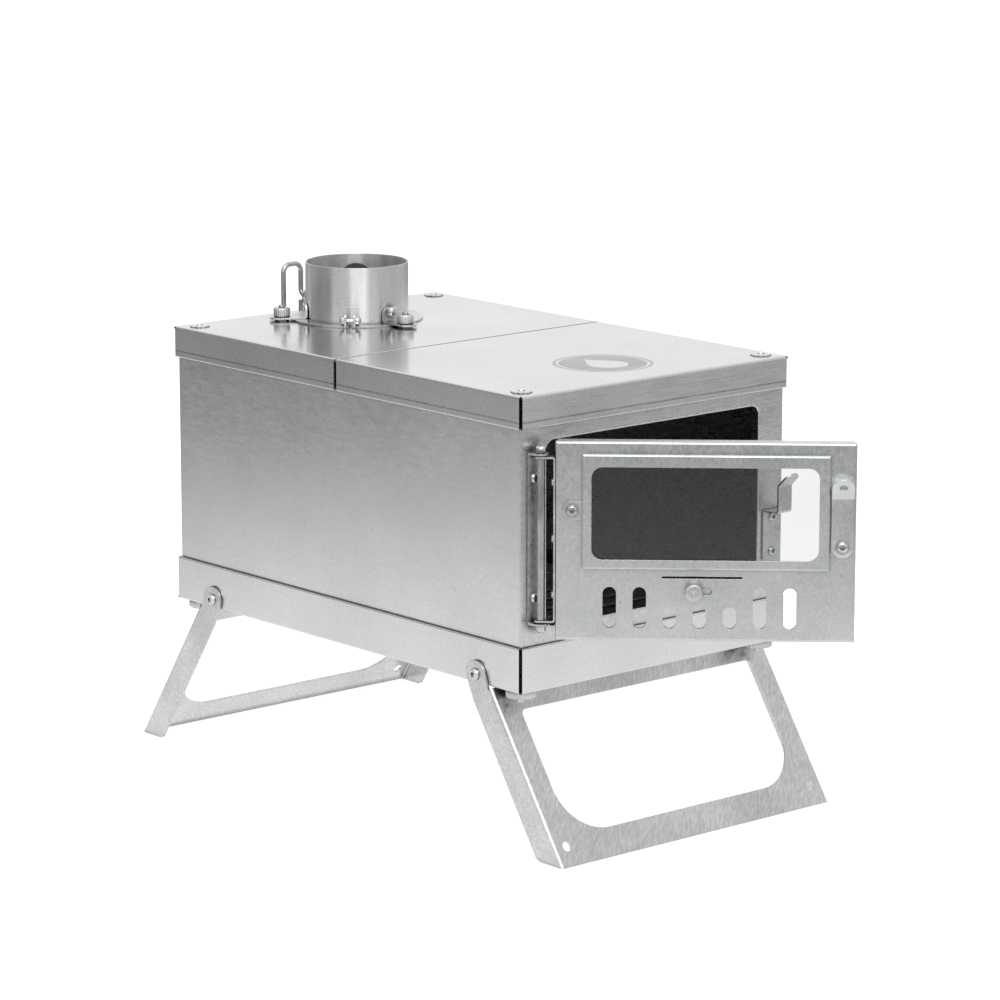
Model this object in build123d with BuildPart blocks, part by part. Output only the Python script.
from build123d import *
from math import cos, degrees, hypot, radians, sin
import os

# Tent wood stove with a lift-off lid, tray, hinged glass door, folding legs and a flue damper.
# Millimetres, +Z up. Z = 0 is the floor, X = 0 the middle of the stove, and the front faces -Y.
# Heights named below count from the tray underside, depths from the front face of the lid.

# Overall sizes
lid_width = 220
lid_length = 340
stove_height = 180
leg_drop = 98
lid_skirt = 20
tray_skirt = 28

# Sheet, bends and clearances
sheet = 1.0
strap = 1.2
bend = 1.6
seat_gap = 0.3
run_gap = 0.05
hem = 3.8
slit = 1.3
inset = 2 * sheet + seat_gap
seam_y = 174
lid_seam = 0.2
seam_depth = 9
flange_gap = 0.7

# Door opening and door
opening_width = lid_width - 45.2
opening_base = 38
opening_top = 151
opening_corner = 6
rim_depth = 5
door_lap = 1.1
door_depth = 8
door_sheet = 1.0
door_base = 33.3
door_top = 153.4
door_rest_angle = 43.4
hinge_x = lid_width / 2 - 13
hinge_reach = 5.7

# Window in the door, from the door's left and the tray underside
window_left = 21.4
window_right = lid_width - 64.7
window_base = 83
window_top = 138.6
window_corner = 6.5
frame_left = 16
frame_right = lid_width - 58.3
frame_base = 77
frame_top = 146
frame_depth = 2.8
frame_sheet = 0.8
glass_thickness = 1.6
gasket_thickness = 0.4
frame_screw_height = 112
frame_screw_inset = 10
tab_radius = 5.7

# Air vents and their slide
vent_pitch = 17.75
vent_count = 7
vent_width = 8
vent_base = 41
vent_tall = 25
vent_short = 13.3
vent_from_left = 32.1
knob_height = 63.8
knob_from_left = 82
knob_radius = 5.25
knob_length = 6
neck_radius = 1.5
knob_slot_height = 4.6
lance_length = 47.7
lance_width = 1.3
lance_from_left = 86.9
lance_height = 72
slide_sheet = 0.8
slide_travel = vent_pitch / 2
slide_base = 38.5
slide_top = 69
guide_sheet = 0.8
guide_lip = 2.6
upper_guides = ((22, 60), (114, 154))
lower_guide = (22, 154)

# Latch
latch_from_left = lid_width - 51
latch_height = 91.6
lever_width = 13
lever_sheet = 1.3
lever_length = 30
lever_tab = 11.5
catch_width = 15.3
catch_plate = 11.4
catch_x = lid_width / 2 - 11.1
catch_base = 53
plate_rise = 16.8
tongue = 8.5

# Hinge
leaf_sheet = 1.1
leaf_base = 41.7
leaf_top = 145.7
leaf_width = 11
leaf_screw_heights = (60, 94, 128)
pin_radius = 1.5
ear_radius = 4.6
door_ear_radius = 4

# Tie rods and thumb nuts
rod_radius = 2
rod_x = lid_width / 2 - 11.5
rod_inset = 12.5
rod_head_radius = 6.5
rod_head = 0.9
thumb_nut_radius = 9.5
thumb_nut_height = 5
rod_tail = 3
panel_notch = 12

# Fire grate
grate_width = lid_width - 34
grate_length = lid_length - 50
grate_height = 16
grate_slots = 14
grate_slot_pitch = 19
grate_slot_length = 150
grate_slot_width = 7

# Flue
flue_y = lid_length - 52
collar_radius = 33.5
collar_wall = 0.8
collar_rise = 37.6
collar_dip = 6
pipe_seat = 24.1
stop_groove = 0.8
stop_groove_depth = 0.4
ring_radius = 43
ring_sheet = 1.2
ring_split = 2.2
clamp_angle = 225
lug_spread = 4.9
lug_radius = 41.2
lug_width = 5.5
lug_height = 6.6
bracket_width = 12.5
bracket_reach = 57.5
bracket_rise = 12.2
bracket_angles = (-90, 30, 150)
stud_circle = 49.5
stud_radius = 2
stud_base_flats = 8
flue_stud_tail = 4
lug_hole_drop = 1.8
rivet_head_radius = 2.5
rivet_head = 1.2
flue_nut_radius = 5.4
flue_nut_height = 6

# Damper
shaft_radius = 1.7
shaft_rise = 8.5
disc_radius = 27.3
disc_sheet = 0.8
disc_screw_reach = 15
spring_washer = 0.8
nut_washer = 0.7
handle_y = lid_length + 7
handle_span = 14.5
handle_rise = 21
handle_drop = 17
spring_radius = 3.65
spring_wire = 0.6
spring_pitch = 2.7
spring_turns = 7

# Legs
leg_strap = 1.5
leg_x = lid_width / 2 + 1.8
leg_pivot_inset = 39.2
leg_pivot_height = 6
leg_lean = 33.7
leg_plate_offset = 6.5
leg_inner_edge = 10.5
leg_head_radius = 8.5
leg_foot_corner = 6
leg_window_width = lid_width - 29
leg_window_from = 29.5
leg_window_to = 112
leg_window_corner = 31
leg_hole_x = lid_width / 2 - 8.4
leg_hole_from = 117.6
leg_hole_radius = 3.25
pivot_screw_radius = 2

# Places worked out from the sizes above
half_width = lid_width / 2
panel_x = half_width - inset
panel_height = stove_height - 2 * sheet
panel_middle = stove_height / 2
side_flange = panel_x - rod_x + 4.8
end_flange_x = panel_x - side_flange - flange_gap
door_left = hinge_x - opening_width / 2 - door_lap
door_width = opening_width + 2 * door_lap
rest_turn = radians(door_rest_angle)
hinge_y = inset - hinge_reach
door_front = door_depth - hinge_reach + 0.7
latch_u = door_left + latch_from_left
lever_face = door_front + frame_sheet + 0.1
lean = radians(leg_lean)
rear_pivot = lid_length - leg_pivot_inset
foot_length = (leg_drop + leg_pivot_height) / cos(lean)
leg_plate_out = leg_plate_offset + leg_strap
foot_reach = ((leg_drop + leg_pivot_height) * sin(lean) + leg_plate_out) / cos(lean)
rear_reach = rear_pivot + foot_reach
tab_middle = lever_face + lever_tab + lever_sheet - lever_width / 2
front_reach = latch_u * sin(rest_turn) + tab_middle * cos(rest_turn) + lever_width / 2 - hinge_y
front_y = (front_reach - rear_reach) / 2
tray_z = leg_drop
rod_points = [(x, y) for x in (-rod_x, rod_x) for y in (rod_inset, lid_length - rod_inset)]
rod_hole = rod_radius + seat_gap
leg_pivots = (leg_pivot_inset, rear_pivot)
leaf_screw_points = [(-hinge_x - 0.6, 130), (-hinge_x - 0.6, 57.4)]
catch_screw_points = [(catch_x, 79.7), (catch_x, 57.9)]


def level(height):
    # Horizontal plane at a height, x to the stove's right and y to its back
    return Plane(origin=(0, front_y, tray_z + height))


def front_face(depth):
    # Upright plane facing forward, y up
    return Plane(origin=(0, front_y + depth, tray_z), x_dir=(1, 0, 0), z_dir=(0, -1, 0))


def side_face(x):
    # Upright plane facing the stove's right, x to the back and y up
    return Plane(origin=(x, front_y, tray_z), x_dir=(0, 1, 0), z_dir=(1, 0, 0))


def door_face(out):
    # Plane of the open door, x along the door from the hinge pin and y up
    along = Vector(cos(rest_turn), -sin(rest_turn), 0)
    outward = Vector(-sin(rest_turn), -cos(rest_turn), 0)
    pin = Vector(-hinge_x, front_y + hinge_y, tray_z)
    return Plane(origin=pin + outward * out, x_dir=along, z_dir=outward)


def door_edge(u):
    # Plane across the open door, facing the hinge, x outward and y up
    face = door_face(0)
    return Plane(origin=face.origin + face.x_dir * u, x_dir=face.z_dir, z_dir=-face.x_dir)


def door_level(height):
    # Horizontal plane of the open door, x along it and y inward
    face = door_face(0)
    origin = face.origin + Vector(0, 0, height)
    return Plane(origin=origin, x_dir=face.x_dir, z_dir=(0, 0, 1))


def flue_level(height, angle=0):
    # Horizontal plane on the flue's axis, x pointing out at an angle
    a = radians(angle)
    origin = (0, front_y + flue_y, tray_z + height)
    return Plane(origin=origin, x_dir=(cos(a), sin(a), 0), z_dir=(0, 0, 1))


def flue_upright(angle, offset=0):
    # Upright plane through the flue's axis, x outward, y up and z sideways
    a = radians(angle)
    out = Vector(cos(a), sin(a), 0)
    across = Vector(sin(a), -cos(a), 0)
    origin = Vector(0, front_y + flue_y, tray_z) + across * offset
    return Plane(origin=origin, x_dir=out, z_dir=across)


def button_screw(head_radius, head_height, shank_radius, shank_length):
    # Round-headed socket screw, its head above z = 0 and its shank below
    rim = 0.3 * head_height
    crown = 0.6 * head_radius
    with BuildPart() as screw:
        with BuildSketch(Plane.XZ):
            with BuildLine():
                Polyline(
                    (0, head_height), (0, -shank_length), (shank_radius, -shank_length),
                    (shank_radius, 0), (head_radius, 0), (head_radius, rim),
                    (0.87 * head_radius, 0.8 * head_height), (crown, head_height), close=True,
                )
            make_face()
        revolve(axis=Axis.Z)
        with BuildSketch(Plane.XY.offset(head_height)):
            RegularPolygon(0.45 * head_radius, 6)
        extrude(amount=-0.6 * head_height, mode=Mode.SUBTRACT)
    return screw.part


def hex_nut(flats, height, bore):
    # Plain nut standing on z = 0
    with BuildPart() as nut:
        with BuildSketch():
            RegularPolygon(flats / 2, 6, major_radius=False)
            Circle(bore, mode=Mode.SUBTRACT)
        extrude(amount=height)
    return nut.part


def dome_nut(radius, height, bore, bore_depth):
    # Round-capped nut standing on z = 0 with a blind hole from below
    skirt = height - 0.7 * radius
    with BuildPart() as nut:
        with BuildSketch(Plane.XZ):
            with BuildLine():
                Polyline(
                    (0, height), (0, bore_depth), (bore, bore_depth), (bore, 0), (radius, 0),
                    (radius, skirt), (0.8 * radius, height - 0.26 * radius), (0.42 * radius, height),
                    close=True,
                )
            make_face()
        revolve(axis=Axis.Z)
    return nut.part


def ribbed_nut(radius, height, bore, ribs):
    # Hand nut standing on z = 0 with notched sides
    with BuildPart() as nut:
        with BuildSketch():
            RegularPolygon(radius, ribs)
            RegularPolygon(radius, ribs, rotation=120 / ribs)
            Circle(bore, mode=Mode.SUBTRACT)
        extrude(amount=height)
    return nut.part


def bent_wire(runs, radius, across):
    # Eight-sided wire along straight runs and arcs that meet without a corner
    with BuildPart() as wire:
        for run in runs:
            with BuildSketch(Plane(origin=run @ 0, x_dir=across, z_dir=run % 0)):
                RegularPolygon(radius, 8)
            if run.geom_type == GeomType.LINE:
                extrude(amount=run.length)
            else:
                turn_axis = (run @ 0 - run.arc_center).cross(run % 0)
                turned = degrees(run.length / run.radius)
                revolve(axis=Axis(run.arc_center, turn_axis), revolution_arc=turned)
    return wire.part


def hem_leaves(near, far, height, ends):
    # Inner leaves of the hems along both sides and along the named ends
    room = 2 * slit
    with BuildPart() as leaves:
        with BuildSketch(level(height)):
            with Locations((0, (near + far) / 2)):
                with GridLocations(lid_width - 3 * sheet, 1, 2, 1):
                    Rectangle(sheet, far - near - 2 * room)
            with Locations(*[(0, y) for y in ends]):
                Rectangle(lid_width - 2 * room, sheet)
        extrude(amount=hem)
    return leaves.part


def corner_slits(near, far, base, top):
    # Square columns that part the skirts at the four corners
    with BuildPart() as columns:
        with BuildSketch(level(base)):
            with Locations((0, (near + far) / 2)):
                with GridLocations(lid_width - slit, far - near - slit, 2, 2):
                    Rectangle(slit, slit)
        extrude(amount=top - base)
    return columns.part


def hem_edges(part, height):
    # Long edges at the folded rim of a skirt
    rim = [e for e in part.edges() if abs(e.center().Z - tray_z - height) < 0.001]
    return [e for e in rim if e.length > 3 * seam_depth]


def lid_half(near, far, hem_end, seam_end):
    # Half of the lid: a folded pan with rolled hems and a short flange at the seam
    skirt_base = stove_height - lid_skirt
    with BuildPart() as pan:
        with BuildSketch(level(skirt_base)):
            with Locations((0, (near + far) / 2)):
                Rectangle(lid_width, far - near)
        extrude(amount=lid_skirt)
        fillet(pan.faces().sort_by(Axis.Z)[-1].edges(), bend)
        offset(amount=-sheet, openings=pan.faces().sort_by(Axis.Z)[0])
        with BuildSketch(level(skirt_base)):
            with Locations((0, seam_end)):
                Rectangle(lid_width - 2 * slit, 2 * bend)
        extrude(amount=lid_skirt - seam_depth, mode=Mode.SUBTRACT)
        with BuildSketch(level(skirt_base)):
            with Locations((0, seam_end)):
                Rectangle(lid_width - 2 * slit, 2 * bend)
                Rectangle(2 * end_flange_x, 2 * bend, mode=Mode.SUBTRACT)
        extrude(amount=lid_skirt - sheet, mode=Mode.SUBTRACT)
        add(corner_slits(near, far, skirt_base, stove_height - bend), mode=Mode.SUBTRACT)
        add(hem_leaves(near, far, skirt_base, [hem_end]))
        fillet(hem_edges(pan, skirt_base), 0.8 * sheet)
        with BuildSketch(level(stove_height)):
            with Locations(*rod_points):
                Circle(rod_hole)
            with Locations((0, flue_y)):
                Circle(collar_radius + seat_gap)
                with PolarLocations(stud_circle, 3, start_angle=bracket_angles[0]):
                    Circle(stud_radius + seat_gap)
        extrude(amount=2 * sheet, both=True, mode=Mode.SUBTRACT)
    return pan.part


os.makedirs("parts", exist_ok=True)

# Lid
front_edge = seam_y - lid_seam / 2
rear_edge = seam_y + lid_seam / 2
front_half = lid_half(0, front_edge, 1.5 * sheet, front_edge)
rear_half = lid_half(rear_edge, lid_length, lid_length - 1.5 * sheet, rear_edge)

with BuildPart() as lid_front:
    add(front_half)

with BuildPart() as lid_rear:
    add(rear_half)

lid_front.part.label = "lid_front"
export_step(lid_front.part, "parts/lid_front.step")
lid_rear.part.label = "lid_rear"
export_step(lid_rear.part, "parts/lid_rear.step")

# Base tray: a folded pan with rolled hems, open at its corners
with BuildPart() as base_tray:
    with BuildSketch(level(0)):
        with Locations((0, lid_length / 2)):
            Rectangle(lid_width, lid_length)
    extrude(amount=tray_skirt)
    fillet(base_tray.faces().sort_by(Axis.Z)[0].edges(), bend)
    offset(amount=-sheet, openings=base_tray.faces().sort_by(Axis.Z)[-1])
    add(corner_slits(0, lid_length, bend, tray_skirt), mode=Mode.SUBTRACT)
    add(hem_leaves(0, lid_length, tray_skirt - hem, [1.5 * sheet, lid_length - 1.5 * sheet]))
    fillet(hem_edges(base_tray, tray_skirt), 0.8 * sheet)
    with BuildSketch(level(0)):
        with Locations(*rod_points):
            Circle(rod_hole)
    extrude(amount=2 * sheet, both=True, mode=Mode.SUBTRACT)
    with BuildSketch(side_face(0)):
        with Locations(*[(y, leg_pivot_height) for y in leg_pivots]):
            Circle(pivot_screw_radius + run_gap)
    extrude(amount=half_width + sheet, both=True, mode=Mode.SUBTRACT)

base_tray.part.label = "base_tray"
export_step(base_tray.part, "parts/base_tray.step")

# Side panels: upright webs with inward flanges, notched for the leg pivot nuts
with BuildPart() as right_side_panel:
    inner = panel_x - side_flange
    low, high = 1.5 * sheet, stove_height - 1.5 * sheet
    web = panel_x - sheet / 2
    with BuildSketch(front_face(inset + sheet)):
        with BuildLine():
            FilletPolyline((inner, low), (web, low), (web, high), (inner, high), radius=bend - sheet / 2)
        trace(line_width=sheet)
    extrude(amount=-(lid_length - 2 * (inset + sheet)))
    with BuildSketch(level(0)):
        with Locations(*rod_points):
            Circle(rod_hole)
    extrude(amount=stove_height, mode=Mode.SUBTRACT)
    with BuildSketch(side_face(panel_x - panel_notch / 2)):
        with Locations(*[(y, leg_pivot_height) for y in leg_pivots]):
            Rectangle(panel_notch, panel_notch)
    extrude(amount=panel_notch, mode=Mode.SUBTRACT)

with BuildPart() as left_side_panel:
    add(right_side_panel.part)
    mirror(about=Plane.YZ, mode=Mode.REPLACE)

right_side_panel.part.label = "right_side_panel"
export_step(right_side_panel.part, "parts/right_side_panel.step")
left_side_panel.part.label = "left_side_panel"
export_step(left_side_panel.part, "parts/left_side_panel.step")


def end_panel():
    # Plain end wall facing forward with flanges that turn inward under the lid and over the tray
    relief = panel_x - end_flange_x
    with BuildPart() as panel:
        with BuildSketch(front_face(inset)):
            with Locations((0, panel_middle)):
                Rectangle(2 * panel_x, panel_height)
                with GridLocations(2 * panel_x - relief, panel_height - bend, 2, 2):
                    Rectangle(relief, bend, mode=Mode.SUBTRACT)
        extrude(amount=-sheet)
        with BuildSketch(front_face(inset + sheet)):
            with Locations((0, panel_middle)):
                with GridLocations(1, panel_height - sheet, 1, 2):
                    Rectangle(2 * end_flange_x, sheet)
        extrude(amount=-(rod_inset - inset - sheet))
        front = panel.faces().sort_by(Axis.Y)[0]
        ends = front.edges().filter_by(Axis.X).group_by(Axis.Z)
        fillet([*ends[0], *ends[-1]], 0.9 * sheet)
    return panel.part


# Front panel with the door opening and its inward rim
front_wall = end_panel()
opening_height = opening_top - opening_base
opening_middle = (opening_top + opening_base) / 2
with BuildPart() as front_panel:
    add(front_wall)
    with BuildSketch(front_face(inset)):
        with Locations((0, opening_middle)):
            corner = opening_corner + sheet
            RectangleRounded(opening_width + 2 * sheet, opening_height + 2 * sheet, corner)
    extrude(amount=-rim_depth)
    with BuildSketch(front_face(inset)):
        with Locations((0, opening_middle)):
            RectangleRounded(opening_width, opening_height, opening_corner)
    extrude(amount=-rim_depth, mode=Mode.SUBTRACT)
    face = front_panel.faces().sort_by(Axis.Y)[0]
    fillet(face.inner_wires()[0].edges(), 0.9 * sheet)
    with BuildSketch(front_face(inset)):
        with Locations(*leaf_screw_points, *catch_screw_points):
            Circle(pin_radius + run_gap)
    extrude(amount=-2 * sheet, mode=Mode.SUBTRACT)

with BuildPart() as rear_panel:
    add(front_wall)
    mirror(about=Plane.XZ.offset(-front_y - lid_length / 2), mode=Mode.REPLACE)

front_panel.part.label = "front_panel"
export_step(front_panel.part, "parts/front_panel.step")
rear_panel.part.label = "rear_panel"
export_step(rear_panel.part, "parts/rear_panel.step")

# Corner tie rods, each with a scalloped head on the lid and a hand nut under the tray
with BuildPart() as corner_tie_rods:
    with BuildSketch(level(stove_height)):
        with Locations(*rod_points):
            Circle(rod_head_radius)
    extrude(amount=rod_head)
    with BuildSketch(level(stove_height)):
        with Locations(*rod_points):
            with PolarLocations(rod_head_radius + 0.35, 12):
                Rectangle(1.3, 1.3, rotation=45)
    extrude(amount=rod_head, mode=Mode.SUBTRACT)
    with BuildSketch(level(stove_height)):
        with Locations(*rod_points):
            Circle(rod_radius)
    extrude(amount=-(stove_height + thumb_nut_height + rod_tail))
    with BuildSketch(level(stove_height + rod_head)):
        with Locations(*rod_points):
            RegularPolygon(0.75 * rod_radius, 6)
    extrude(amount=-rod_head, mode=Mode.SUBTRACT)

hand_nut = ribbed_nut(thumb_nut_radius, thumb_nut_height, rod_radius + run_gap, 15)
with BuildPart() as corner_thumb_nuts:
    with Locations(level(-thumb_nut_height)):
        with Locations(*rod_points):
            add(hand_nut)

corner_tie_rods.part.label = "corner_tie_rods"
export_step(corner_tie_rods.part, "parts/corner_tie_rods.step")
corner_thumb_nuts.part.label = "corner_thumb_nuts"
export_step(corner_thumb_nuts.part, "parts/corner_thumb_nuts.step")

# Fire grate: a slotted pan standing upside down on the tray
with BuildPart() as fire_grate:
    with BuildSketch(level(sheet)):
        with Locations((0, lid_length / 2)):
            Rectangle(grate_width, grate_length)
    extrude(amount=grate_height)
    fillet(fire_grate.faces().sort_by(Axis.Z)[-1].edges(), bend)
    offset(amount=-sheet, openings=fire_grate.faces().sort_by(Axis.Z)[0])
    top = sheet + grate_height
    with BuildSketch(level(sheet)):
        with Locations((0, lid_length / 2)):
            with GridLocations(grate_width - slit, grate_length - slit, 2, 2):
                Rectangle(slit, slit)
    extrude(amount=grate_height - bend, mode=Mode.SUBTRACT)
    with BuildSketch(level(top)):
        with Locations((0, lid_length / 2)):
            with GridLocations(1, grate_slot_pitch, 1, grate_slots):
                SlotOverall(grate_slot_length, grate_slot_width)
    extrude(amount=-sheet, mode=Mode.SUBTRACT)

fire_grate.part.label = "fire_grate"
export_step(fire_grate.part, "parts/fire_grate.step")

# Flue collar: a tube holed for the damper shaft, with a shallow groove below the pipe's seat
collar_bore = collar_radius - collar_wall
with BuildPart() as flue_collar:
    with BuildSketch(flue_level(stove_height - collar_dip)):
        Circle(collar_radius)
        Circle(collar_bore, mode=Mode.SUBTRACT)
    extrude(amount=collar_rise + collar_dip)
    with BuildSketch(flue_level(stove_height + collar_rise - pipe_seat)):
        Circle(collar_radius)
        Circle(collar_radius - stop_groove_depth, mode=Mode.SUBTRACT)
    extrude(amount=-stop_groove, mode=Mode.SUBTRACT)
    with BuildSketch(front_face(flue_y)):
        with Locations((0, stove_height + shaft_rise)):
            Circle(shaft_radius + run_gap)
    extrude(amount=2 * collar_radius, both=True, mode=Mode.SUBTRACT)
    for angle in bracket_angles[1:]:
        with Locations(flue_level(stove_height + shaft_rise, angle)):
            with Locations(Location((collar_radius, 0, 0), (0, 90, 0))):
                Cylinder(shaft_radius + run_gap, 4 * collar_wall, mode=Mode.SUBTRACT)

flue_collar.part.label = "flue_collar"
export_step(flue_collar.part, "parts/flue_collar.step")

# Flue flange: a split clamping ring on the lid with two upright lugs
with BuildPart() as flue_flange:
    with BuildSketch(flue_level(stove_height, clamp_angle)):
        Circle(ring_radius)
        Circle(collar_radius + 2 * run_gap, mode=Mode.SUBTRACT)
        with Locations((ring_radius, 0)):
            Rectangle(ring_radius, ring_split, mode=Mode.SUBTRACT)
        with Locations((lug_radius, 0)):
            with GridLocations(1, lug_spread + ring_sheet, 1, 2):
                Rectangle(lug_width, ring_sheet)
    extrude(amount=ring_sheet)
    for side in (-1, 1):
        with BuildSketch(flue_upright(clamp_angle, side * (lug_spread + ring_sheet) / 2)):
            with Locations((lug_radius, stove_height + lug_height / 2)):
                Rectangle(lug_width, lug_height)
            with Locations((lug_radius, stove_height + lug_height)):
                Circle(lug_width / 2)
            with Locations((lug_radius, stove_height + lug_height - lug_hole_drop)):
                Circle(pin_radius + run_gap, mode=Mode.SUBTRACT)
        extrude(amount=ring_sheet / 2, both=True)

flue_flange.part.label = "flue_flange"
export_step(flue_flange.part, "parts/flue_flange.step")

# Clamp screw through both lugs, with its nut
clamp_grip = lug_spread / 2 + ring_sheet
clamp_height = stove_height + lug_height - lug_hole_drop
clamp_head = button_screw(3.2, 2.9, pin_radius, 2 * clamp_grip + 5.6)
clamp_nut = hex_nut(5.6, 3.6, pin_radius + run_gap)
with BuildPart() as flue_clamp_screw:
    with Locations(flue_upright(clamp_angle, clamp_grip)):
        with Locations((lug_radius, clamp_height)):
            add(clamp_head)
    with Locations(flue_upright(clamp_angle, -clamp_grip)):
        with Locations(Location((lug_radius, clamp_height, 0), (0, 180, 0))):
            add(clamp_nut)

flue_clamp_screw.part.label = "flue_clamp_screw"
export_step(flue_clamp_screw.part, "parts/flue_clamp_screw.step")

# Three angle brackets that hold the collar upright on the ring
bracket_foot = stove_height + ring_sheet * 1.5
upright_radius = collar_radius + 2 * run_gap + ring_sheet / 2
with BuildPart() as angle_bracket:
    with BuildSketch(flue_upright(0)):
        with BuildLine():
            FilletPolyline(
                (bracket_reach, bracket_foot), (upright_radius, bracket_foot),
                (upright_radius, stove_height + bracket_rise), radius=ring_sheet,
            )
        trace(line_width=ring_sheet)
    extrude(amount=bracket_width / 2, both=True)
    foot_end = angle_bracket.edges().filter_by(Axis.Z).group_by(Axis.X)[-1]
    fillet(foot_end, 0.49 * bracket_width)
    upright_end = angle_bracket.edges().filter_by(Axis.X).group_by(Axis.Z)[-1]
    fillet(upright_end, 0.45 * bracket_width)
    with BuildSketch(flue_level(bracket_foot)):
        with Locations((stud_circle, 0)):
            Circle(stud_radius + seat_gap / 2)
    extrude(amount=ring_sheet, both=True, mode=Mode.SUBTRACT)
    with BuildSketch(Plane.YZ):
        with Locations((front_y + flue_y, tray_z + stove_height + shaft_rise)):
            Circle(shaft_radius + 2 * run_gap)
    extrude(amount=ring_radius, mode=Mode.SUBTRACT)

bracket_shape = angle_bracket.part.moved(Location((0, -front_y - flue_y, 0)))
with BuildPart() as flue_brackets:
    with Locations((0, front_y + flue_y)):
        with PolarLocations(0, 3, start_angle=bracket_angles[0]):
            add(bracket_shape)

flue_brackets.part.label = "flue_brackets"
export_step(flue_brackets.part, "parts/flue_brackets.step")

# Rivets in the two brackets that the shaft doesn't use
with BuildPart() as bracket_rivets:
    for angle in bracket_angles[1:]:
        origin = flue_level(stove_height + shaft_rise, angle)
        face = Plane(
            origin=origin.origin + origin.x_dir * (upright_radius + ring_sheet / 2),
            x_dir=origin.y_dir, z_dir=origin.x_dir,
        )
        with BuildSketch(face):
            Circle(shaft_radius)
        extrude(amount=-(ring_sheet + collar_wall + 2 * run_gap))
        with BuildSketch(face):
            Circle(rivet_head_radius)
        extrude(amount=rivet_head, taper=30)

bracket_rivets.part.label = "bracket_rivets"
export_step(bracket_rivets.part, "parts/bracket_rivets.step")

# Studs that carry the brackets, their hex bases on the lid
with BuildPart() as flue_studs:
    with BuildSketch(flue_level(stove_height)):
        with PolarLocations(stud_circle, 3, start_angle=bracket_angles[0]):
            RegularPolygon(stud_base_flats / 2, 6, major_radius=False)
    extrude(amount=ring_sheet)
    with BuildSketch(flue_level(stove_height - flue_stud_tail)):
        with PolarLocations(stud_circle, 3, start_angle=bracket_angles[0]):
            Circle(stud_radius)
    extrude(amount=flue_stud_tail + 2 * ring_sheet + flue_nut_height + 1.6)

stud_nut = ribbed_nut(flue_nut_radius, flue_nut_height, stud_radius + run_gap, 12)
with BuildPart() as flue_thumb_nuts:
    with Locations(flue_level(stove_height + 2 * ring_sheet)):
        with PolarLocations(stud_circle, 3, start_angle=bracket_angles[0]):
            add(stud_nut)

flue_studs.part.label = "flue_studs"
export_step(flue_studs.part, "parts/flue_studs.step")
flue_thumb_nuts.part.label = "flue_thumb_nuts"
export_step(flue_thumb_nuts.part, "parts/flue_thumb_nuts.step")

# Damper shaft and handle: one wire from the front nut to a closed loop behind the lid
shaft_height = stove_height + shaft_rise
bracket_out = upright_radius + ring_sheet / 2
damper_front = flue_y - bracket_out - 2
loop_turn = handle_span / 2
loop_top = shaft_height + handle_rise
loop_low = shaft_height - handle_drop
elbow = 2.4 * shaft_radius
wire_end = shaft_height - 2 * shaft_radius
rear = handle_y
with BuildLine(level(0)) as handle_line:
    Line((0, damper_front, shaft_height), (0, rear - elbow, shaft_height))
    ThreePointArc(
        (0, rear - elbow, shaft_height),
        (0, rear - elbow * (1 - sin(radians(45))), shaft_height + elbow * (1 - cos(radians(45)))),
        (0, rear, shaft_height + elbow),
    )
    Line((0, rear, shaft_height + elbow), (0, rear, loop_top - loop_turn))
    ThreePointArc(
        (0, rear, loop_top - loop_turn), (-loop_turn, rear, loop_top),
        (-handle_span, rear, loop_top - loop_turn),
    )
    Line((-handle_span, rear, loop_top - loop_turn), (-handle_span, rear, loop_low + loop_turn))
    ThreePointArc(
        (-handle_span, rear, loop_low + loop_turn), (-loop_turn, rear, loop_low),
        (0, rear, loop_low + loop_turn),
    )
    Line((0, rear, loop_low + loop_turn), (0, rear, wire_end))

with BuildPart() as damper_handle:
    add(bent_wire(handle_line.edges(), shaft_radius, (1, 0, 0)))

damper_handle.part.label = "damper_handle"
export_step(damper_handle.part, "parts/damper_handle.step")

# Damper disc screwed to a flat on the side of the shaft
disc_face = shaft_radius + run_gap
with BuildPart() as damper_disc:
    with BuildSketch(side_face(disc_face)):
        with Locations((flue_y, shaft_height)):
            Circle(disc_radius)
            with GridLocations(2 * disc_screw_reach, 1, 2, 1):
                Circle(1, mode=Mode.SUBTRACT)
    extrude(amount=disc_sheet)

disc_screw = button_screw(2, 1.2, 1 - run_gap, disc_sheet + run_gap)
with BuildPart() as disc_screws:
    with Locations(side_face(disc_face + disc_sheet)):
        with Locations(*[(flue_y + k * disc_screw_reach, shaft_height) for k in (-1, 1)]):
            add(disc_screw)

damper_disc.part.label = "damper_disc"
export_step(damper_disc.part, "parts/damper_disc.step")
disc_screws.part.label = "disc_screws"
export_step(disc_screws.part, "parts/disc_screws.step")

# Washer and domed nut on the front end of the shaft
with BuildPart() as damper_washers:
    with BuildSketch(front_face(flue_y - bracket_out - seat_gap)):
        with Locations((0, shaft_height)):
            Circle(2.5 * shaft_radius)
            Circle(shaft_radius + run_gap, mode=Mode.SUBTRACT)
    extrude(amount=nut_washer)
    with BuildSketch(front_face(flue_y + collar_radius + seat_gap)):
        with Locations((0, shaft_height)):
            Circle(spring_radius + spring_wire + 0.4)
            Circle(shaft_radius + run_gap, mode=Mode.SUBTRACT)
    extrude(amount=-spring_washer)

cap_nut = dome_nut(3.8, 3.6, shaft_radius + run_gap, 1.2)
with BuildPart() as damper_nut:
    with Locations(front_face(flue_y - bracket_out - seat_gap - nut_washer)):
        with Locations((0, shaft_height)):
            add(cap_nut)

damper_washers.part.label = "damper_washers"
export_step(damper_washers.part, "parts/damper_washers.step")
damper_nut.part.label = "damper_nut"
export_step(damper_nut.part, "parts/damper_nut.step")

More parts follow.
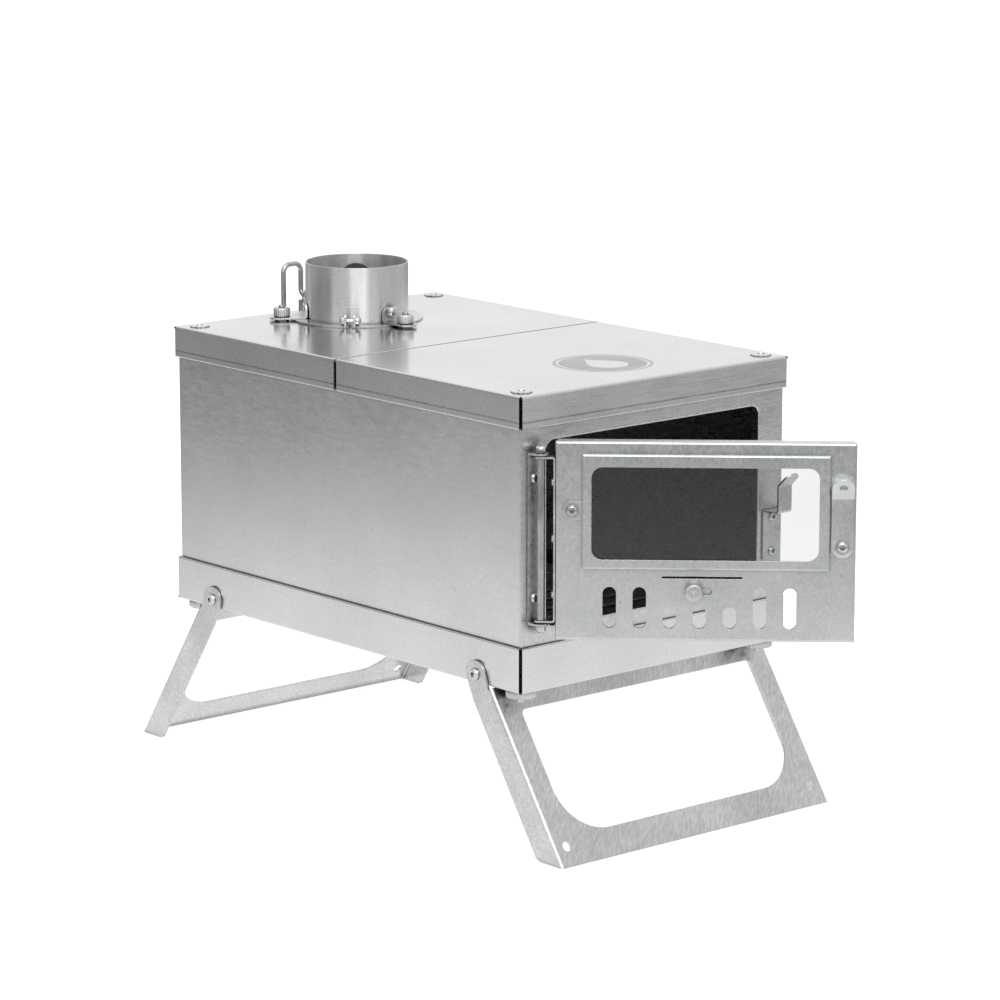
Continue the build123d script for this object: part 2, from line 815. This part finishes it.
# Coil spring between the collar and the handle, on half turns that lean by turns
spring_start = flue_y + collar_radius + seat_gap + spring_washer + spring_wire + run_gap
half_turns = [
    ((-1) ** k * spring_radius, spring_start + k * spring_pitch / 2, shaft_height)
    for k in range(2 * spring_turns + 1)
]
with BuildLine(level(0)) as coil:
    for k, (near_end, far_end) in enumerate(zip(half_turns, half_turns[1:])):
        middle_y = (near_end[1] + far_end[1]) / 2
        crest = hypot(spring_radius, spring_pitch / 4)
        ThreePointArc(near_end, (0, middle_y, shaft_height + (-1) ** k * crest), far_end)

with BuildPart() as damper_spring:
    add(bent_wire(coil.edges(), spring_wire, (0, 1, 0)))

damper_spring.part.label = "damper_spring"
export_step(damper_spring.part, "parts/damper_spring.step")

samples = 24 * spring_turns
coil_points = [coil.line @ (k / samples) for k in range(samples + 1)]
coil_gap = min(
    (coil_points[a] - coil_points[b]).length - 2 * spring_wire
    for a in range(samples) for b in range(a + 12, samples + 1)
)
print(f"spring gap {coil_gap:.2f} mm")

# Hinge: a fixed leaf on the front panel, a leaf on the door, and a long pin with domed nuts
fixed_leaf_y = inset - leaf_sheet / 2
leaf_left = -hinge_x - leaf_width * 0.55
fixed_low, fixed_high = leaf_base + leaf_sheet / 2, leaf_top - leaf_sheet / 2
with BuildPart() as hinge_fixed_leaf:
    with BuildSketch(side_face(leaf_left)):
        with BuildLine():
            FilletPolyline(
                (hinge_y - ear_radius, fixed_low), (fixed_leaf_y, fixed_low),
                (fixed_leaf_y, fixed_high), (hinge_y - ear_radius, fixed_high), radius=leaf_sheet,
            )
        trace(line_width=leaf_sheet)
    extrude(amount=leaf_width)
    with BuildSketch(level(leaf_base)):
        with Locations((-hinge_x, hinge_y)):
            Circle(ear_radius)
        with Locations((leaf_left + leaf_width / 2, fixed_leaf_y)):
            Rectangle(leaf_width, leaf_sheet)
        make_hull()
    extrude(amount=leaf_top - leaf_base, mode=Mode.INTERSECT)
    with BuildSketch(level(0)):
        with Locations((-hinge_x, hinge_y)):
            Circle(pin_radius + run_gap)
    extrude(amount=stove_height, mode=Mode.SUBTRACT)
    with BuildSketch(front_face(inset)):
        with Locations(*leaf_screw_points):
            Circle(pin_radius + run_gap)
    extrude(amount=2 * leaf_sheet, both=True, mode=Mode.SUBTRACT)

hinge_fixed_leaf.part.label = "hinge_fixed_leaf"
export_step(hinge_fixed_leaf.part, "parts/hinge_fixed_leaf.step")

# Screws of the fixed leaf, through the front panel
panel_screw = button_screw(3.2, 1.5, pin_radius, leaf_sheet + sheet + 2.6)
panel_nut = hex_nut(5.5, 2.2, pin_radius + run_gap)
with BuildPart() as hinge_leaf_screws:
    with Locations(front_face(inset - leaf_sheet)):
        with Locations(*leaf_screw_points):
            add(panel_screw)
    with Locations(front_face(inset + sheet + 2.2)):
        with Locations(*leaf_screw_points):
            add(panel_nut)

hinge_leaf_screws.part.label = "hinge_leaf_screws"
export_step(hinge_leaf_screws.part, "parts/hinge_leaf_screws.step")

pin_nut_height = 4.6
pin_low = leaf_base - seat_gap
pin_high = leaf_top + seat_gap
pin_nut = dome_nut(3.25, pin_nut_height, pin_radius + run_gap, 2.2)
with BuildPart() as hinge_pin:
    with Locations(level(pin_low - 2)):
        with Locations((-hinge_x, hinge_y)):
            Cylinder(pin_radius, pin_high - pin_low + 4, align=(Align.CENTER, Align.CENTER, Align.MIN))

with BuildPart() as hinge_pin_nuts:
    with Locations(level(pin_high)):
        with Locations((-hinge_x, hinge_y)):
            add(pin_nut)
    with Locations(level(pin_low)):
        with Locations(Location((-hinge_x, hinge_y, 0), (180, 0, 0))):
            add(pin_nut)

door_leaf_low = leaf_base + 1.5 * leaf_sheet + seat_gap
door_leaf_high = leaf_top - 1.5 * leaf_sheet - seat_gap
with BuildPart() as hinge_sleeve:
    with BuildSketch(level(door_leaf_low + leaf_sheet)):
        with Locations((-hinge_x, hinge_y)):
            Circle(1.6 * pin_radius)
            Circle(pin_radius + run_gap, mode=Mode.SUBTRACT)
    extrude(amount=door_leaf_high - door_leaf_low - 2 * leaf_sheet)

hinge_pin.part.label = "hinge_pin"
export_step(hinge_pin.part, "parts/hinge_pin.step")
hinge_pin_nuts.part.label = "hinge_pin_nuts"
export_step(hinge_pin_nuts.part, "parts/hinge_pin_nuts.step")
hinge_sleeve.part.label = "hinge_sleeve"
export_step(hinge_sleeve.part, "parts/hinge_sleeve.step")

# Door: a folded pan with a window, a row of vents, a slot for the knob and a lanced slit
door_middle = (door_left + door_width / 2, (door_base + door_top) / 2)
door_height = door_top - door_base
door_back = door_front - door_depth
window_middle = (door_left + (window_left + window_right) / 2, (window_base + window_top) / 2)
window_size = (window_right - window_left, window_top - window_base)
knob_slot_right = knob_from_left + slide_travel + neck_radius + seat_gap
knob_slot_left = knob_from_left - neck_radius - 0.8
knob_slot = (door_left + (knob_slot_left + knob_slot_right) / 2, knob_height)
vent_middle = door_left + vent_from_left + (vent_count - 1) * vent_pitch / 2
side_vents = [vent_middle + k * vent_pitch for k in (-3, -2, 2, 3)]
knob_vents = [vent_middle + k * vent_pitch for k in (-1, 0, 1)]
tall_height = vent_base + vent_tall / 2
short_height = vent_base + vent_short / 2
with BuildPart() as door_panel:
    with BuildSketch(door_face(door_back)):
        with Locations(door_middle):
            Rectangle(door_width, door_height)
    extrude(amount=door_depth)
    door_out = Axis((0, 0, 0), door_face(0).z_dir)
    fillet(door_panel.faces().sort_by(door_out)[-1].edges(), bend)
    offset(amount=-door_sheet, openings=door_panel.faces().sort_by(door_out)[0])
    with BuildSketch(door_face(door_back)):
        with Locations(door_middle):
            with GridLocations(door_width - slit, door_height - slit, 2, 2):
                Rectangle(slit, slit)
    extrude(amount=door_depth - bend, mode=Mode.SUBTRACT)
    with BuildSketch(door_face(door_front)):
        with Locations(window_middle):
            RectangleRounded(window_size[0] + 2, window_size[1] + 2, window_corner + 1)
        with Locations(*[(u, tall_height) for u in side_vents]):
            SlotOverall(vent_tall, vent_width, rotation=90)
        with Locations(*[(u, short_height) for u in knob_vents]):
            SlotOverall(vent_short, vent_width, rotation=90)
        with Locations(knob_slot):
            SlotOverall(knob_slot_right - knob_slot_left, knob_slot_height)
        with Locations((door_left + lance_from_left, lance_height)):
            SlotOverall(lance_length, lance_width)
        with Locations((door_left + frame_screw_inset, frame_screw_height), (latch_u, latch_height)):
            Circle(pivot_screw_radius + run_gap)
    extrude(amount=-2 * door_sheet, mode=Mode.SUBTRACT)
    with BuildSketch(door_edge(door_left)):
        with Locations(*[(door_back + door_depth / 2, z) for z in leaf_screw_heights]):
            Circle(pin_radius + run_gap)
    extrude(amount=-2 * door_sheet, mode=Mode.SUBTRACT)

door_panel.part.label = "door_panel"
export_step(door_panel.part, "parts/door_panel.step")

# Door leaf of the hinge, its ears stacked inside the fixed ones
leaf_web = door_left - leaf_sheet / 2
with BuildPart() as hinge_door_leaf:
    with BuildSketch(door_face(door_back)):
        with BuildLine():
            FilletPolyline(
                (-door_ear_radius, door_leaf_low + leaf_sheet / 2), (leaf_web, door_leaf_low + leaf_sheet / 2),
                (leaf_web, door_leaf_high - leaf_sheet / 2),
                (-door_ear_radius, door_leaf_high - leaf_sheet / 2), radius=leaf_sheet,
            )
        trace(line_width=leaf_sheet)
    extrude(amount=door_depth)
    with BuildSketch(door_level(leaf_base)):
        Circle(door_ear_radius)
        with Locations((leaf_web, -(door_front + door_back) / 2)):
            Rectangle(leaf_sheet, door_depth - 1)
        make_hull()
    extrude(amount=leaf_top - leaf_base, mode=Mode.INTERSECT)
    with BuildSketch(door_level(leaf_base)):
        Circle(pin_radius + run_gap)
    extrude(amount=leaf_top - leaf_base, mode=Mode.SUBTRACT)
    with BuildSketch(door_edge(door_left)):
        with Locations(*[(door_back + door_depth / 2, z) for z in leaf_screw_heights]):
            Circle(pin_radius + run_gap)
    extrude(amount=2 * leaf_sheet, mode=Mode.SUBTRACT)

door_leaf_screw = button_screw(2.4, 1.3, pin_radius, leaf_sheet + door_sheet + 2.4)
door_leaf_nut = hex_nut(5, 2, pin_radius + run_gap)
with BuildPart() as door_leaf_screws:
    points = [(door_back + door_depth / 2, z) for z in leaf_screw_heights]
    with Locations(door_edge(door_left - leaf_sheet)):
        with Locations(*points):
            add(door_leaf_screw)
    with Locations(door_edge(door_left + door_sheet + 2 + run_gap)):
        with Locations(*points):
            add(door_leaf_nut)

hinge_door_leaf.part.label = "hinge_door_leaf"
export_step(hinge_door_leaf.part, "parts/hinge_door_leaf.step")
door_leaf_screws.part.label = "door_leaf_screws"
export_step(door_leaf_screws.part, "parts/door_leaf_screws.step")

# Window: gasket and glass held by a shallow pressed frame with a tab at each side
frame_middle = (door_left + (frame_left + frame_right) / 2, (frame_base + frame_top) / 2)
frame_size = (frame_right - frame_left, frame_top - frame_base)
glass_size = (frame_size[0] - 2 * frame_sheet - 2 * seat_gap, frame_size[1] - 2 * frame_sheet - 2 * seat_gap)
glass_back = door_front + gasket_thickness
with BuildPart() as window_gasket:
    with BuildSketch(door_face(door_front)):
        with Locations(frame_middle):
            RectangleRounded(glass_size[0], glass_size[1], 3)
        with Locations(window_middle):
            RectangleRounded(window_size[0] + 2.6, window_size[1] + 2.6, window_corner, mode=Mode.SUBTRACT)
    extrude(amount=gasket_thickness)

with BuildPart() as window_glass:
    with BuildSketch(door_face(glass_back)):
        with Locations(frame_middle):
            RectangleRounded(glass_size[0], glass_size[1], 3)
    extrude(amount=glass_thickness)

with BuildPart() as window_frame:
    with BuildSketch(door_face(door_front)):
        with Locations(frame_middle):
            Rectangle(*frame_size)
    extrude(amount=frame_depth)
    fillet(window_frame.faces().sort_by(door_out)[-1].edges(), 1.4 * frame_sheet)
    offset(amount=-frame_sheet, openings=window_frame.faces().sort_by(door_out)[0])
    with BuildSketch(door_face(door_front)):
        with Locations(window_middle):
            RectangleRounded(*window_size, window_corner)
    extrude(amount=2 * frame_depth, mode=Mode.SUBTRACT)
    with BuildSketch(door_face(door_front)):
        left_tab = (door_left + frame_screw_inset, frame_screw_height)
        right_tab = (latch_u, latch_height)
        for tab, edge in ((left_tab, frame_left), (right_tab, frame_right)):
            frame_side = door_left + edge
            with Locations(tab):
                Circle(tab_radius)
            with Locations(((tab[0] + frame_side) / 2, tab[1])):
                Rectangle(abs(frame_side - tab[0]), 2 * tab_radius)
        with Locations(left_tab, right_tab):
            Circle(pivot_screw_radius + run_gap, mode=Mode.SUBTRACT)
    extrude(amount=frame_sheet)

window_gasket.part.label = "window_gasket"
export_step(window_gasket.part, "parts/window_gasket.step")
window_glass.part.label = "window_glass"
export_step(window_glass.part, "parts/window_glass.step")
window_frame.part.label = "window_frame"
export_step(window_frame.part, "parts/window_frame.step")

# Pivot screw of the latch and the screw of the window frame, with their washers and nuts
lever_out = lever_face + lever_sheet
pivot_screw = button_screw(3.4, 1.6, pivot_screw_radius, lever_out + 0.8 - door_front + door_sheet + 2.8)
frame_screw = button_screw(3.2, 1.6, pivot_screw_radius, frame_sheet + door_sheet + 2.8)
door_nut = hex_nut(6.5, 2.4, pivot_screw_radius + run_gap)
nut_face = door_front - door_sheet - 2.4
with BuildPart() as latch_pivot_screw:
    with Locations(door_face(lever_out + 0.8)):
        with Locations((latch_u, latch_height)):
            add(pivot_screw)
    with BuildSketch(door_face(lever_out + run_gap)):
        with Locations((latch_u, latch_height)):
            Circle(4.3)
            Circle(pivot_screw_radius + run_gap, mode=Mode.SUBTRACT)
    extrude(amount=0.7)
    with Locations(door_face(nut_face)):
        with Locations((latch_u, latch_height)):
            add(door_nut)

with BuildPart() as window_frame_screw:
    with Locations(door_face(door_front + frame_sheet)):
        with Locations((door_left + frame_screw_inset, frame_screw_height)):
            add(frame_screw)
    with Locations(door_face(nut_face)):
        with Locations((door_left + frame_screw_inset, frame_screw_height)):
            add(door_nut)

latch_pivot_screw.part.label = "latch_pivot_screw"
export_step(latch_pivot_screw.part, "parts/latch_pivot_screw.step")
window_frame_screw.part.label = "window_frame_screw"
export_step(window_frame_screw.part, "parts/window_frame_screw.step")

# Latch lever: a strap that turns on the door, its end folded outward as a finger tab
with BuildPart() as latch_lever:
    with BuildSketch(door_edge(latch_u - lever_width / 2)):
        with BuildLine():
            middle_line = lever_face + lever_sheet / 2
            fold = latch_height + lever_length + lever_sheet / 2
            FilletPolyline(
                (middle_line, latch_height - lever_width / 2), (middle_line, fold),
                (lever_out + lever_tab, fold), radius=1.4 * lever_sheet,
            )
        trace(line_width=lever_sheet)
    extrude(amount=-lever_width)
    foot = latch_lever.faces().sort_by(Axis.Z)[0]
    fillet(foot.edges().filter_by(door_out), 0.49 * lever_width)
    tab_end = latch_lever.edges().filter_by(Axis.Z).sort_by(door_out)[-2:]
    fillet(tab_end, 0.45 * lever_width)
    with BuildSketch(door_face(lever_out)):
        with Locations((latch_u, latch_height)):
            Circle(pivot_screw_radius + run_gap)
    extrude(amount=-2 * lever_sheet, mode=Mode.SUBTRACT)
    with BuildSketch(door_level(latch_height + lever_length)):
        with Locations((latch_u, -(lever_out + 0.5 * lever_tab))):
            Circle(2.25)
    extrude(amount=2 * lever_sheet, mode=Mode.SUBTRACT)

latch_lever.part.label = "latch_lever"
export_step(latch_lever.part, "parts/latch_lever.step")

# Latch catch: a strap on the front panel, bent out to a shelf, a plate and a leaning tongue
shelf_height = latch_height - lever_width / 2 - seat_gap - strap / 2
catch_front = hinge_y - lever_out - seat_gap - strap / 2
catch_back = inset - strap / 2
with BuildPart() as latch_catch:
    with BuildSketch(side_face(catch_x - catch_width / 2)):
        with BuildLine():
            FilletPolyline(
                (catch_back, catch_base), (catch_back, shelf_height), (catch_front, shelf_height),
                (catch_front, shelf_height + plate_rise),
                (catch_front - tongue, shelf_height + plate_rise + tongue), radius=1.1 * strap,
            )
        trace(line_width=strap)
    extrude(amount=catch_width)
    shoulder = catch_front + 2.4 * strap
    trim = (catch_width - catch_plate) / 2
    with BuildSketch(level(shelf_height - strap)):
        with Locations((catch_x, shoulder - tongue - 3 * strap)):
            with GridLocations(catch_width - trim, 1, 2, 1):
                Rectangle(trim, 2 * (tongue + 3 * strap))
    extrude(amount=plate_rise + 2 * tongue, mode=Mode.SUBTRACT)
    tip_face = latch_catch.faces().sort_by(Axis((0, 0, 0), (0, -1, 1)))[-1]
    fillet([e for e in tip_face.edges() if e.length < 2 * strap], 0.45 * catch_plate)
    with BuildSketch(front_face(inset)):
        with Locations(*catch_screw_points):
            Circle(pin_radius + run_gap)
    extrude(amount=4 * strap, both=True, mode=Mode.SUBTRACT)

catch_screw = button_screw(2.9, 1.4, pin_radius, strap + sheet + 2.6)
with BuildPart() as latch_catch_screws:
    with Locations(front_face(inset - strap)):
        with Locations(*catch_screw_points):
            add(catch_screw)
    with Locations(front_face(inset + sheet + 2.2)):
        with Locations(*catch_screw_points):
            add(panel_nut)

latch_catch.part.label = "latch_catch"
export_step(latch_catch.part, "parts/latch_catch.step")
latch_catch_screws.part.label = "latch_catch_screws"
export_step(latch_catch_screws.part, "parts/latch_catch_screws.step")

# Air slide: a plate with the same vents, held behind the door by stepped guides, and its knob
slide_out = door_front - door_sheet - seat_gap
slide_middle = (vent_middle - slide_travel / 4, (slide_base + slide_top) / 2)
slide_width = vent_count * vent_pitch - slide_travel / 2
knob_place = (door_left + knob_from_left, knob_height)
with BuildPart() as air_slide_plate:
    with BuildSketch(door_face(slide_out)):
        with Locations(slide_middle):
            RectangleRounded(slide_width, slide_top - slide_base, 2)
        with Locations(*[(u, tall_height) for u in side_vents]):
            SlotOverall(vent_tall, vent_width, rotation=90, mode=Mode.SUBTRACT)
        with Locations(*[(u, short_height) for u in knob_vents]):
            SlotOverall(vent_short, vent_width, rotation=90, mode=Mode.SUBTRACT)
        with Locations(knob_place):
            Circle(neck_radius + run_gap, mode=Mode.SUBTRACT)
    extrude(amount=-slide_sheet)

knob_base = door_front + seat_gap - slide_out
rivet_back = slide_sheet + 0.9
with BuildPart() as knob_shape:
    with BuildSketch(Plane.XZ):
        with BuildLine():
            Polyline(
                (0, knob_base + knob_length), (0, -rivet_back), (2.4, -rivet_back),
                (2.4, -slide_sheet), (neck_radius, -slide_sheet), (neck_radius, knob_base),
                (0.62 * knob_radius, knob_base), (knob_radius, knob_base + 0.72 * knob_length),
            )
            RadiusArc(
                (knob_radius, knob_base + 0.72 * knob_length),
                (0.7 * knob_radius, knob_base + knob_length), -0.4 * knob_radius,
            )
            Line((0.7 * knob_radius, knob_base + knob_length), (0, knob_base + knob_length))
        make_face()
    revolve(axis=Axis.Z)

with BuildPart() as air_knob:
    with Locations(door_face(slide_out)):
        with Locations(knob_place):
            add(knob_shape.part)

air_slide_plate.part.label = "air_slide_plate"
export_step(air_slide_plate.part, "parts/air_slide_plate.step")
air_knob.part.label = "air_knob"
export_step(air_knob.part, "parts/air_knob.step")

guide_front = door_front - door_sheet - guide_sheet / 2
guide_back = slide_out - slide_sheet - seat_gap - guide_sheet / 2
upper_step = slide_top + seat_gap + guide_sheet / 2
lower_step = slide_base - seat_gap - guide_sheet / 2
with BuildPart() as air_slide_guides:
    for near, far in upper_guides:
        with BuildSketch(door_edge(door_left + near)):
            with BuildLine():
                FilletPolyline(
                    (guide_front, upper_step + 4), (guide_front, upper_step), (guide_back, upper_step),
                    (guide_back, upper_step - guide_lip), radius=0.6 * guide_sheet,
                )
            trace(line_width=guide_sheet)
        extrude(amount=near - far)
    with BuildSketch(door_edge(door_left + lower_guide[0])):
        with BuildLine():
            FilletPolyline(
                (guide_front, lower_step - guide_lip), (guide_front, lower_step), (guide_back, lower_step),
                (guide_back, lower_step + guide_lip), radius=0.6 * guide_sheet,
            )
        trace(line_width=guide_sheet)
    extrude(amount=lower_guide[0] - lower_guide[1])

air_slide_guides.part.label = "air_slide_guides"
export_step(air_slide_guides.part, "parts/air_slide_guides.step")

# Legs: a holed face plate and two side straps bent from one sheet, cut level at the floor
leg_normal = Vector(0, -cos(lean), sin(lean))
leg_down = Vector(0, -sin(lean), -cos(lean))
leg_axis = Vector(0, front_y + leg_pivot_inset, tray_z + leg_pivot_height)
plate_from = (leg_pivot_height + seat_gap + leg_plate_out * sin(lean)) / cos(lean)
strap_line = leg_x - leg_strap / 2
plate_line = leg_plate_offset + leg_strap / 2
window_tall = leg_window_to - leg_window_from
with BuildPart() as front_leg:
    with BuildSketch(Plane(origin=leg_axis + leg_down * plate_from, x_dir=(1, 0, 0), z_dir=leg_down)):
        with BuildLine():
            FilletPolyline(
                (-strap_line, -leg_inner_edge), (-strap_line, plate_line), (strap_line, plate_line),
                (strap_line, -leg_inner_edge), radius=leg_strap,
            )
        trace(line_width=leg_strap)
    extrude(amount=foot_length + leg_head_radius + leg_plate_out - plate_from)
    for x in (-leg_x, leg_x - leg_strap):
        head = Plane(origin=leg_axis + Vector(x, 0, 0), x_dir=leg_normal, z_dir=(1, 0, 0))
        with BuildSketch(head):
            Circle(leg_head_radius)
            with Locations(((leg_plate_offset - leg_strap - leg_inner_edge) / 2, plate_from + 1)):
                Rectangle(leg_plate_offset - leg_strap + leg_inner_edge, 2)
            make_hull()
        extrude(amount=leg_strap)
        with BuildSketch(head):
            Circle(pivot_screw_radius + run_gap)
        extrude(amount=leg_strap, mode=Mode.SUBTRACT)
    with BuildSketch(Plane(origin=leg_axis, x_dir=(1, 0, 0), z_dir=leg_normal)) as leg_cuts:
        with Locations((0, -(leg_window_from + leg_window_to) / 2)):
            Rectangle(leg_window_width, window_tall)
        fillet(leg_cuts.vertices().group_by(Axis.Y)[0], leg_window_corner)
        fillet(leg_cuts.vertices().group_by(Axis.Y)[-1], 4)
        with Locations((-leg_hole_x, -leg_hole_from), (leg_hole_x, -leg_hole_from)):
            Circle(leg_hole_radius)
    extrude(amount=2 * leg_plate_out, mode=Mode.SUBTRACT)
    split(bisect_by=Plane.XY, keep=Keep.TOP)
    sole = front_leg.edges().filter_by(Axis.X).group_by(Axis.Z)[0]
    fillet([e for e in sole if e.length < 2 * leg_strap and e.center().Y > front_y - leg_pivot_inset], leg_foot_corner)

with BuildPart() as rear_leg:
    add(front_leg.part)
    mirror(about=Plane.XZ.offset(-front_y - lid_length / 2), mode=Mode.REPLACE)

front_leg.part.label = "front_leg"
export_step(front_leg.part, "parts/front_leg.step")
rear_leg.part.label = "rear_leg"
export_step(rear_leg.part, "parts/rear_leg.step")

# Pivot screws and nuts of the legs, through the tray's skirts
pivot_nut_height = 2.6
pivot_bolt = button_screw(3.8, 2.2, pivot_screw_radius, leg_x + run_gap - half_width + sheet + 3)
pivot_nut = hex_nut(7, pivot_nut_height, pivot_screw_radius + run_gap)
pivot_places = [(y, leg_pivot_height) for y in leg_pivots]
with BuildPart() as leg_pivot_screws:
    with Locations(side_face(leg_x + run_gap)):
        with Locations(*pivot_places):
            add(pivot_bolt)
    mirror(about=Plane.YZ)

with BuildPart() as leg_pivot_nuts:
    with Locations(side_face(half_width - sheet - pivot_nut_height)):
        with Locations(*pivot_places):
            add(pivot_nut)
    mirror(about=Plane.YZ)

leg_pivot_screws.part.label = "leg_pivot_screws"
export_step(leg_pivot_screws.part, "parts/leg_pivot_screws.step")
leg_pivot_nuts.part.label = "leg_pivot_nuts"
export_step(leg_pivot_nuts.part, "parts/leg_pivot_nuts.step")
